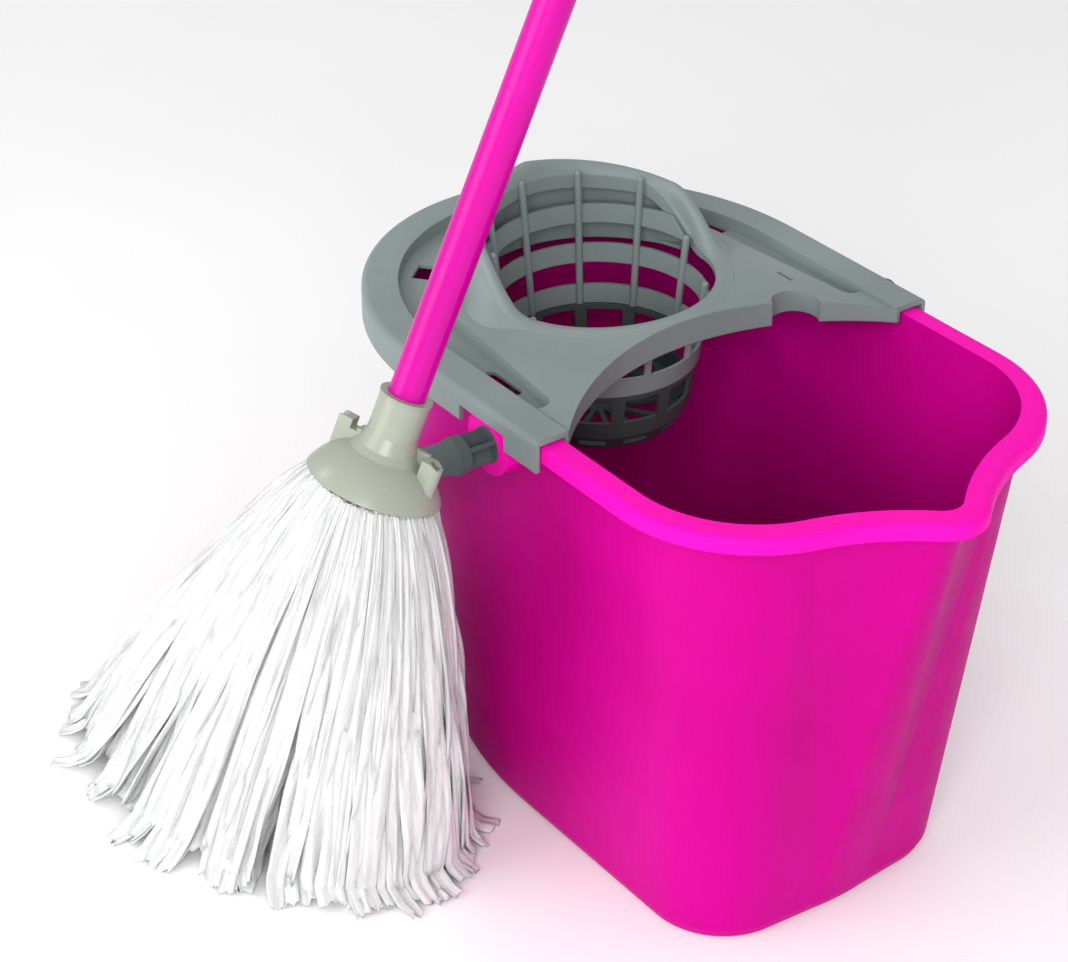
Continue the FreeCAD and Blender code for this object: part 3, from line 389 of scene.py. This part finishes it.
def hank(name, middle, width, layers):
    """One bundle of strips, a sector of the head: its middle direction, its width in degrees and its
    layers. Gives the piece, the strips' count and their total length."""
    verts = []
    faces = []
    lengths = []
    count = 0
    total = 0.0
    for place, strips in layers:
        for number in range(strips):
            share = (number + 0.5) / strips - 0.5 + chance.uniform(-0.2, 0.2) / strips
            angle = math.radians(middle + width * share)
            points, sides = strip_line(angle, place, chance.uniform(0.955, 1.03))
            ribbon(points, sides, verts, faces, lengths)
            count += 1
            total += sum((q - p).length for p, q in zip(points, points[1:]))
    for co in verts:
        co.z = max(co.z, LOWEST)
    mesh = bpy.data.meshes.new(name)
    mesh.from_pydata(verts, [], faces)
    mesh.update()
    layer = mesh.uv_layers.new(name="strip")
    apart = 3.7                # every strip takes its own stretch of the cloth's noise
    for polygon in mesh.polygons:
        polygon.use_smooth = True
        for loop in polygon.loop_indices:
            vertex = mesh.loops[loop].vertex_index
            offset = (vertex // RING) // (STEPS + 1) * apart
            layer.data[loop].uv = ((vertex % RING) / RING + offset, lengths[vertex // RING] + offset)
    piece = bpy.data.objects.new(name, mesh)
    scene.collection.objects.link(piece)
    mesh.materials.append(cloth)
    return piece, count, total


INNER_HANKS = 3
OUTER_HANKS = 9
INNER_WIDTH = 360.0 / INNER_HANKS      # degrees of the head that a hank takes
INNER_TURN = 30.0                      # direction of the first inner hank
OUTER_WIDTH = 360.0 / OUTER_HANKS
for number in range(INNER_HANKS + OUTER_HANKS):
    name = "strips_%02d" % (number + 1)
    outer = number - INNER_HANKS
    if outer < 0:
        solid = "hank_inner_%d" % (number + 1)
        piece, count, total = hank(name, INNER_WIDTH * number + INNER_TURN, INNER_WIDTH, INNER_LAYERS)
    else:
        solid = "hank_outer_%d" % (outer + 1)
        piece, count, total = hank(name, OUTER_WIDTH * outer, OUTER_WIDTH, OUTER_LAYERS)
    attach(piece, "mop_head")
    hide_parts(solid)


# ------------------------------------------------------------------ floor, light and camera

FLOOR_HALF = 40.0              # wide enough to have no edge in a low view
floor_mesh = bpy.data.meshes.new("floor")
corners = [(x * FLOOR_HALF, y * FLOOR_HALF, 0) for x, y in ((-1, -1), (1, -1), (1, 1), (-1, 1))]
floor_mesh.from_pydata(corners, [], [(0, 1, 2, 3)])
floor = bpy.data.objects.new("floor", floor_mesh)
scene.collection.objects.link(floor)
ground = Nodes("pale_floor")
off_white = [(0.3, linear(249, 249, 249)), (0.7, linear(252, 252, 252))]
ground.link(ground.ramp(ground.noise(3.0, 3.0), off_white), ground.shader.inputs["Base Color"])
ground.shader.inputs["Roughness"].default_value = 0.7
floor_mesh.materials.append(ground.material)

world = bpy.data.worlds.new("studio")
scene.world = world
world.use_nodes = True
sky = world.node_tree.nodes["Background"]
sky.inputs["Color"].default_value = (1, 1, 1, 1)
sky.inputs["Strength"].default_value = 0.70


def area_light(name, place, target, wide, power):
    """Square light of a width and a power in watts, turned to a target."""
    data = bpy.data.lights.new(name, "AREA")
    data.shape = "SQUARE"
    data.size = wide
    data.energy = power
    light = bpy.data.objects.new(name, data)
    scene.collection.objects.link(light)
    light.location = place
    light.rotation_mode = "QUATERNION"
    light.rotation_quaternion = (Vector(target) - Vector(place)).to_track_quat("-Z", "Y")


area_light("key", (1.5, -1.4, 1.3), (0.0, -0.05, 0.12), 1.1, 32.0)
area_light("glint", (-1.4, -1.1, 1.7), (0.02, -0.21, 0.28), 0.35, 3.5)
area_light("fill", (-0.4, -2.3, 1.0), (0.0, -0.05, 0.15), 1.6, 26.0)

camera_data = bpy.data.cameras.new("camera")
camera_data.sensor_width = 36.0
camera_data.lens = 91.86
camera = bpy.data.objects.new("camera", camera_data)
scene.collection.objects.link(camera)
camera.location = (0.9512, -0.7949, 0.9552)
camera.rotation_mode = "QUATERNION"
VIEW_AZIMUTH = math.radians(53.9)
VIEW_HEIGHT = math.radians(31.6)
back = Vector((math.sin(VIEW_AZIMUTH) * math.cos(VIEW_HEIGHT),
               -math.cos(VIEW_AZIMUTH) * math.cos(VIEW_HEIGHT), math.sin(VIEW_HEIGHT)))
camera.rotation_quaternion = (-back).to_track_quat("-Z", "Y")
camera_data.clip_start = 0.05
camera_data.clip_end = 60.0
scene.camera = camera
